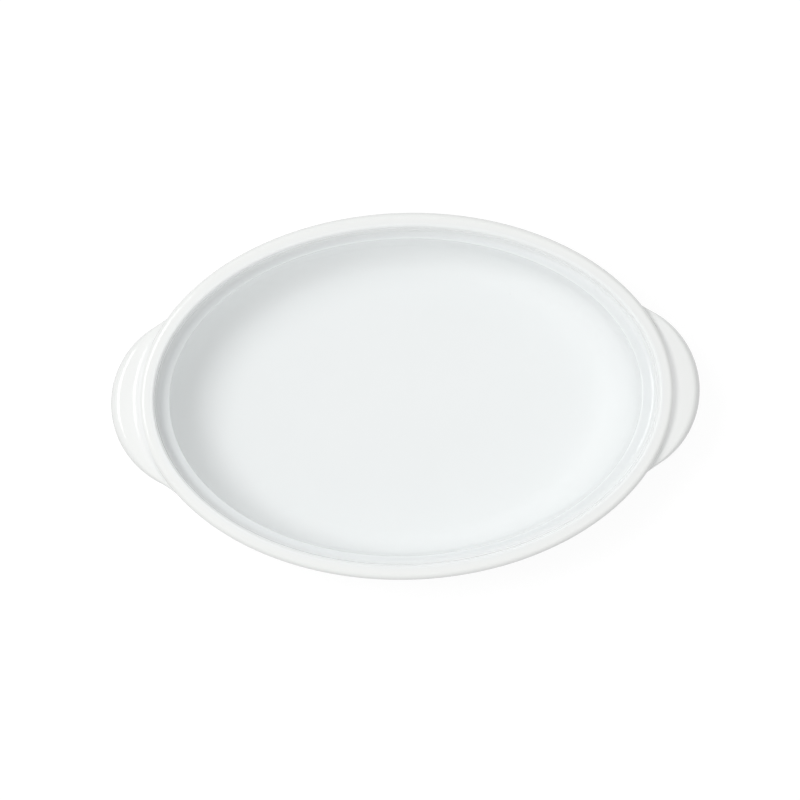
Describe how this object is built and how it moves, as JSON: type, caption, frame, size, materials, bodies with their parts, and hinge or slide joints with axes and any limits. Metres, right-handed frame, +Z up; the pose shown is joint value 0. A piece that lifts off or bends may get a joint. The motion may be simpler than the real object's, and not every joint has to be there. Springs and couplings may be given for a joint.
{
  "type": "oval cocotte",
  "caption": "Open oval porcelain baking dish with a rounded lip, a lid ledge inside the mouth, a low foot ring and a solid lug handle at each end.",
  "frame": {"origin": "on the table, under the middle of the bowl", "axes": "+X along the long axis to the right handle, +Y across the bowl to the back, +Z up out of the mouth"},
  "size_m": [0.3418, 0.212, 0.056],
  "materials": {
    "white_glaze": "gloss"
  },
  "bodies": {
    "root": {"bowl": "white_glaze", "left_handle": "white_glaze", "right_handle": "white_glaze"}
  },
  "joints": []
}
